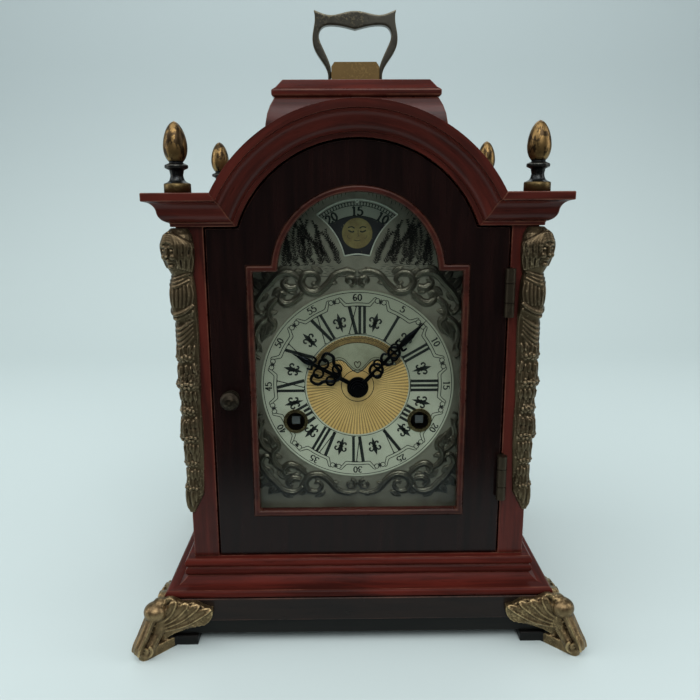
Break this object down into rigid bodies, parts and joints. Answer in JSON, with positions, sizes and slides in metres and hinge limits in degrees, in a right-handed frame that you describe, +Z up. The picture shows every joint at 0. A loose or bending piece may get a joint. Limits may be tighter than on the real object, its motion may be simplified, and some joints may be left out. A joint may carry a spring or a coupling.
{
  "type": "bracket clock",
  "caption": "Arched-top wooden bracket clock with a carrying handle, glazed front door, brass feet and finials, moon dial, striking movement and back door.",
  "frame": {"origin": "on the floor under the middle of the plinth", "axes": "+Z up, the dial faces -Y, +X to the viewer's right"},
  "size_m": [0.23, 0.1778, 0.3309],
  "materials": {
    "mahogany": "polished red-brown mahogany",
    "dark_mahogany": "polished, nearly black mahogany",
    "black_wood": "black stained",
    "antique_brass": "cast, aged, dark in the hollows",
    "bronze": "dull dark bronze castings",
    "polished_brass": "polished",
    "bell_metal": "turned bell metal",
    "steel": "brushed",
    "blued_steel": "black",
    "silvered_plate": "silvered, with black figures",
    "gilt_centre": "gilt, engine turned rays",
    "painted_moon": "painted night sky with two moons",
    "glass": "clear"
  },
  "bodies": {
    "root": {"base_skirt": "black_wood", "base_plinth": "mahogany", "base_board": "mahogany", "base_moulding": "mahogany", "side_panel_left": "mahogany", "side_panel_right": "mahogany", "front_frame": "mahogany", "back_frame": "dark_mahogany", "roof_decks": "mahogany", "roof_vault": "mahogany", "cornice_left": "mahogany", "cornice_right": "mahogany", "cornice_arch": "mahogany", "cap_body": "mahogany", "cap_plate": "mahogany", "handle_block": "antique_brass", "corner_feet": "antique_brass", "finials": "antique_brass", "corner_mount_left": "bronze", "corner_mount_right": "bronze", "dial_frame": "dark_mahogany", "dial_plate": "silvered_plate", "chapter_ring": "silvered_plate", "dial_centre": "gilt_centre", "dial_spandrels": "bronze", "winding_eyelets": "polished_brass", "dial_feet": "polished_brass", "movement_front_plate": "polished_brass", "movement_back_plate": "polished_brass", "movement_pillars": "polished_brass", "seat_board": "dark_mahogany", "bell": "bell_metal", "bell_stand": "steel", "front_hinge_pins": "polished_brass", "back_hinge_pins": "polished_brass"},
    "front_door": {"front_door_leaf": "dark_mahogany", "glazing_bead": "mahogany", "door_glass": "glass", "front_door_knob": "polished_brass", "front_hinge_knuckles": "polished_brass"},
    "back_door": {"back_door_leaf": "dark_mahogany", "back_door_knob": "polished_brass", "back_hinge_knuckles": "polished_brass"},
    "handle": {"carrying_handle": "antique_brass"},
    "minute_hand_set": {"minute_hand": "blued_steel", "cannon_pinion": "polished_brass", "hand_nut": "blued_steel"},
    "hour_hand_set": {"hour_hand": "blued_steel", "hour_wheel": "polished_brass"},
    "minute_wheel_set": {"minute_wheel": "polished_brass"},
    "moon": {"moon_disc": "painted_moon"},
    "centre_arbor": {"centre_wheel": "polished_brass"},
    "going_barrel_set": {"going_barrel": "polished_brass"},
    "going_arbor": {"going_winding_arbor": "steel"},
    "strike_barrel_set": {"strike_barrel": "polished_brass"},
    "strike_arbor": {"strike_winding_arbor": "steel"},
    "second_arbor": {"second_wheel": "polished_brass"},
    "third_arbor": {"third_wheel": "polished_brass"},
    "balance_wheel": {"balance": "polished_brass"},
    "strike_hammer": {"hammer": "steel"}
  },
  "joints": [
    {"name": "front_door_hinge", "type": "hinge", "parent": "root", "child": "front_door", "pos_m": [0.0746, -0.0651, 0.13], "axis": [0, 0, 1], "range_deg": [0, 110]},
    {"name": "back_door_hinge", "type": "hinge", "parent": "root", "child": "back_door", "pos_m": [-0.0659, 0.0787, 0.13], "axis": [0, 0, 1], "range_deg": [0, 110]},
    {"name": "handle_swing", "type": "hinge", "parent": "root", "child": "handle", "pos_m": [0, 0, 0.2982], "axis": [1, 0, 0], "range_deg": [-95, 95]},
    {"name": "centre_turn", "type": "hinge", "parent": "root", "child": "centre_arbor", "pos_m": [0, 0, 0.134], "axis": [0, 1, 0], "continuous": true},
    {"name": "minute_hand_turn", "type": "hinge", "parent": "root", "child": "minute_hand_set", "pos_m": [0, 0, 0.134], "axis": [0, 1, 0], "continuous": true},
    {"name": "hour_hand_turn", "type": "hinge", "parent": "root", "child": "hour_hand_set", "pos_m": [0, 0, 0.134], "axis": [0, 1, 0], "continuous": true},
    {"name": "minute_wheel_turn", "type": "hinge", "parent": "root", "child": "minute_wheel_set", "pos_m": [0.007, 0, 0.12188], "axis": [0, 1, 0], "continuous": true},
    {"name": "second_wheel_turn", "type": "hinge", "parent": "root", "child": "second_arbor", "pos_m": [0.01465, 0, 0.1352], "axis": [0, 1, 0], "continuous": true},
    {"name": "third_wheel_turn", "type": "hinge", "parent": "root", "child": "third_arbor", "pos_m": [-0.007, 0, 0.14612], "axis": [0, 1, 0], "continuous": true},
    {"name": "going_barrel_turn", "type": "hinge", "parent": "root", "child": "going_barrel_set", "pos_m": [0.0335, 0, 0.1145], "axis": [0, 1, 0], "continuous": true},
    {"name": "strike_barrel_turn", "type": "hinge", "parent": "root", "child": "strike_barrel_set", "pos_m": [-0.0335, 0, 0.1145], "axis": [0, 1, 0], "continuous": true},
    {"name": "going_winding", "type": "hinge", "parent": "root", "child": "going_arbor", "pos_m": [0.0335, 0, 0.1145], "axis": [0, 1, 0], "continuous": true},
    {"name": "strike_winding", "type": "hinge", "parent": "root", "child": "strike_arbor", "pos_m": [-0.0335, 0, 0.1145], "axis": [0, 1, 0], "continuous": true},
    {"name": "moon_turn", "type": "hinge", "parent": "root", "child": "moon", "pos_m": [0, 0, 0.2], "axis": [0, 1, 0], "continuous": true},
    {"name": "balance_swing", "type": "hinge", "parent": "root", "child": "balance_wheel", "pos_m": [-0.02513, 0, 0.16872], "axis": [0, 1, 0], "range_deg": [-150, 150]},
    {"name": "hammer_lift", "type": "hinge", "parent": "root", "child": "strike_hammer", "pos_m": [-0.037, 0, 0.181], "axis": [0, -1, 0], "range_deg": [0, 12]}
  ],
  "couplings": [
    {"joint": "centre_turn", "follows": "going_barrel_turn", "ratio": 25.5},
    {"joint": "minute_hand_turn", "follows": "going_barrel_turn", "ratio": 25.5},
    {"joint": "hour_hand_turn", "follows": "going_barrel_turn", "ratio": 2.125},
    {"joint": "minute_wheel_turn", "follows": "going_barrel_turn", "ratio": -8.5},
    {"joint": "second_wheel_turn", "follows": "going_barrel_turn", "ratio": -6},
    {"joint": "third_wheel_turn", "follows": "going_barrel_turn", "ratio": -153}
  ]
}
